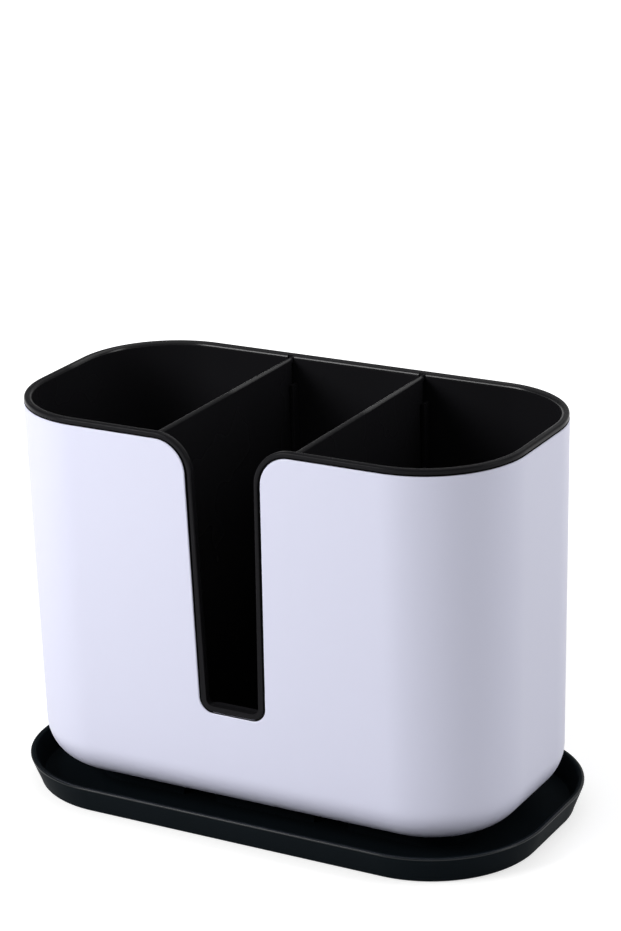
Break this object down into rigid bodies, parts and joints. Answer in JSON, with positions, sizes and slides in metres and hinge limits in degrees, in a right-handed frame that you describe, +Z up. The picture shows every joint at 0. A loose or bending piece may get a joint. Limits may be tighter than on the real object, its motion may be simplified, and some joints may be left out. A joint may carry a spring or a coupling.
{
  "type": "chopstick and cutlery caddy",
  "caption": "Countertop caddy: white shell with an open front slot, black lift-out liner with dividers, standing in a drip tray.",
  "frame": {"origin": "on the table, under the middle of the drip tray", "axes": "+Z up, +X to the right along the wide side, -Y towards the front, where the slot is"},
  "size_m": [0.1974, 0.108, 0.1432],
  "materials": {
    "white_plastic": "satin, smooth moulded, slightly cool white",
    "black_plastic": "satin, smooth moulded",
    "black_tray_plastic": "satin, smooth moulded"
  },
  "bodies": {
    "tray": {"drip_tray": "black_tray_plastic"},
    "shell": {"outer_shell": "white_plastic"},
    "liner": {"inner_liner": "black_plastic"},
    "left_plate": {"left_divider": "black_plastic"},
    "right_plate": {"right_divider": "black_plastic"}
  },
  "joints": [
    {"name": "shell_lift", "type": "slide", "parent": "tray", "child": "shell", "axis": [0, 0, 1], "range_m": [0, 0.06]},
    {"name": "liner_lift", "type": "slide", "parent": "shell", "child": "liner", "axis": [0, 0, 1], "range_m": [0, 0.15]},
    {"name": "left_divider_lift", "type": "slide", "parent": "liner", "child": "left_plate", "axis": [0, 0, 1], "range_m": [0, 0.15]},
    {"name": "right_divider_lift", "type": "slide", "parent": "liner", "child": "right_plate", "axis": [0, 0, 1], "range_m": [0, 0.15]}
  ]
}
